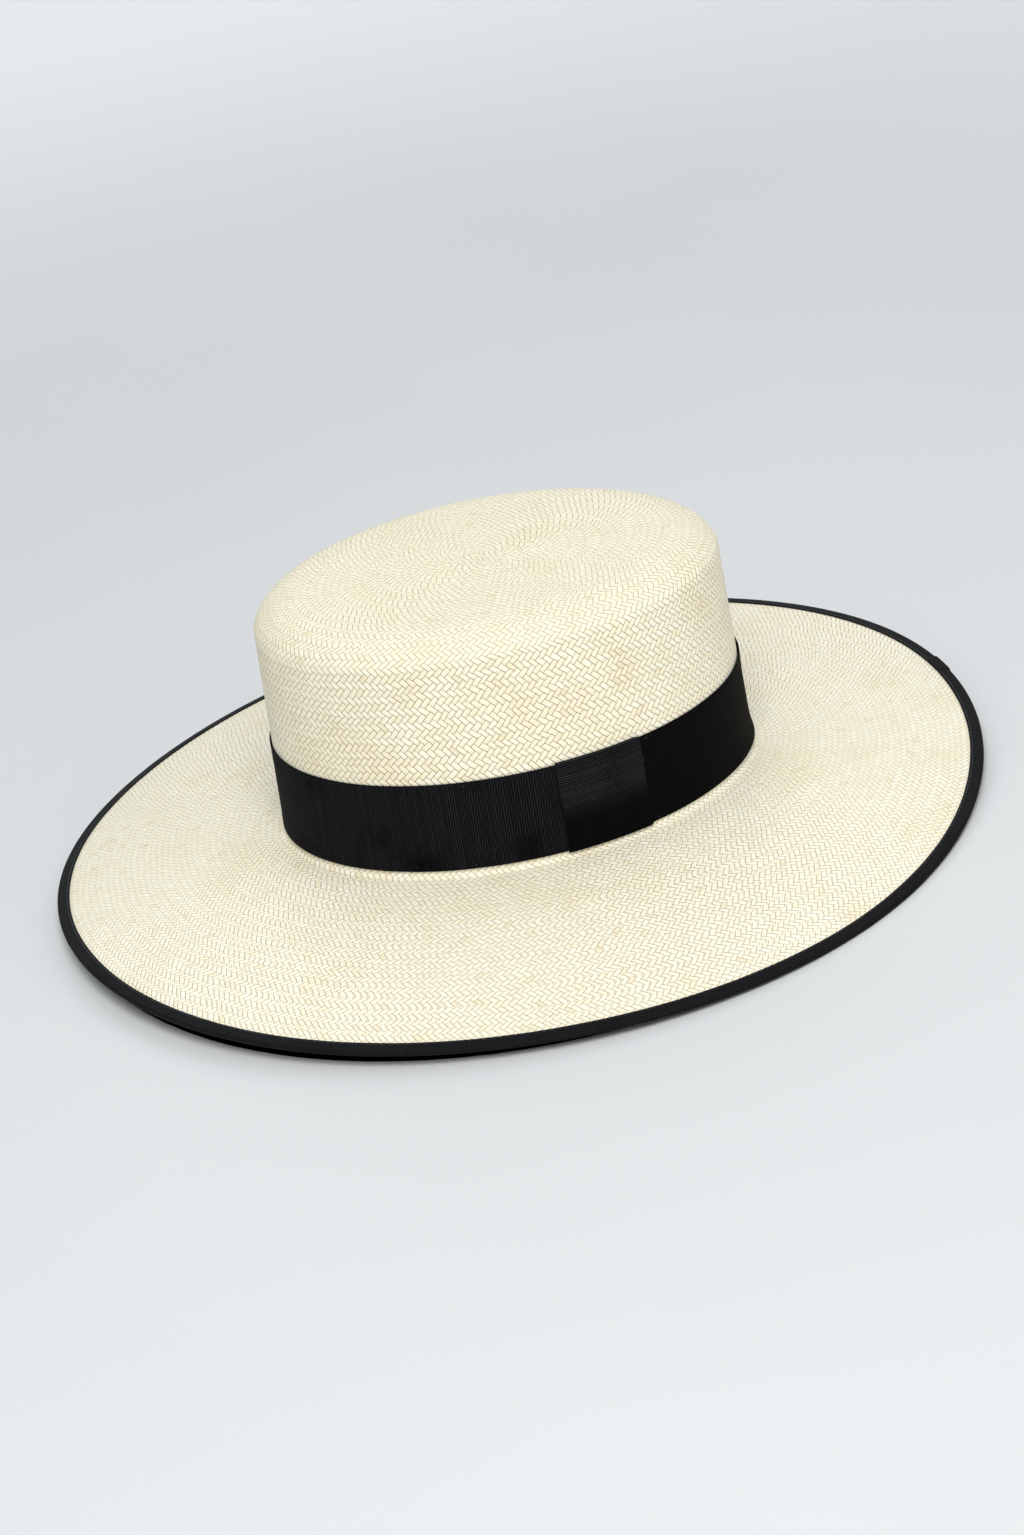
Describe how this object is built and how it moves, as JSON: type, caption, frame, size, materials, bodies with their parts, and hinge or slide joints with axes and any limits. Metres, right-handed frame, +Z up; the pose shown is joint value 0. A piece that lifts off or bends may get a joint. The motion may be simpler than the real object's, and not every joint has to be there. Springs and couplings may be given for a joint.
{
  "type": "panama hat",
  "caption": "Wide-brimmed straw hat with a flat oval crown, a black ribbon band with a side tab, a bound brim edge and an inner sweatband.",
  "frame": {"origin": "under the middle of the brim's outline, at the height of the brim edge's lowest point, which is what the hat stands on", "axes": "+Z is up as the hat stands on its brim, the front is towards -Y and the wearer's left, with the ribbon tab, is +X; the crown's own axis leans 1.7 degrees back, towards +Y"},
  "size_m": [0.4126, 0.4128, 0.1262],
  "materials": {
    "toquilla_straw": "bleached toquilla straw in a fine diagonal weave",
    "grosgrain_black": "black grosgrain ribbon with fine ribs",
    "binding_black": "black ribbon folded over the brim's edge",
    "thread_black": "black sewing thread",
    "wire_steel": "drawn steel wire",
    "joiner_steel": "thin steel sleeve",
    "sweat_leather": "light tan leather, fine grain",
    "reed_plastic": "extruded plastic cord",
    "reed_tape_cloth": "plain woven cotton tape",
    "thread_ivory": "ivory sewing thread",
    "bow_ribbon": "narrow black satin ribbon",
    "label_cloth": "blank white woven label"
  },
  "bodies": {
    "root": {"straw_body": "toquilla_straw", "hat_band": "grosgrain_black", "band_tab": "grosgrain_black", "band_tacks": "thread_black", "brim_binding": "binding_black", "binding_stitches": "thread_black", "brim_wire": "wire_steel", "wire_joiner": "joiner_steel", "sweatband": "sweat_leather", "sweatband_reed": "reed_plastic", "reed_tape": "reed_tape_cloth", "sweatband_stitches": "thread_ivory", "back_seam_tape": "reed_tape_cloth", "sweatband_bow": "bow_ribbon", "size_tab": "label_cloth"}
  },
  "joints": []
}
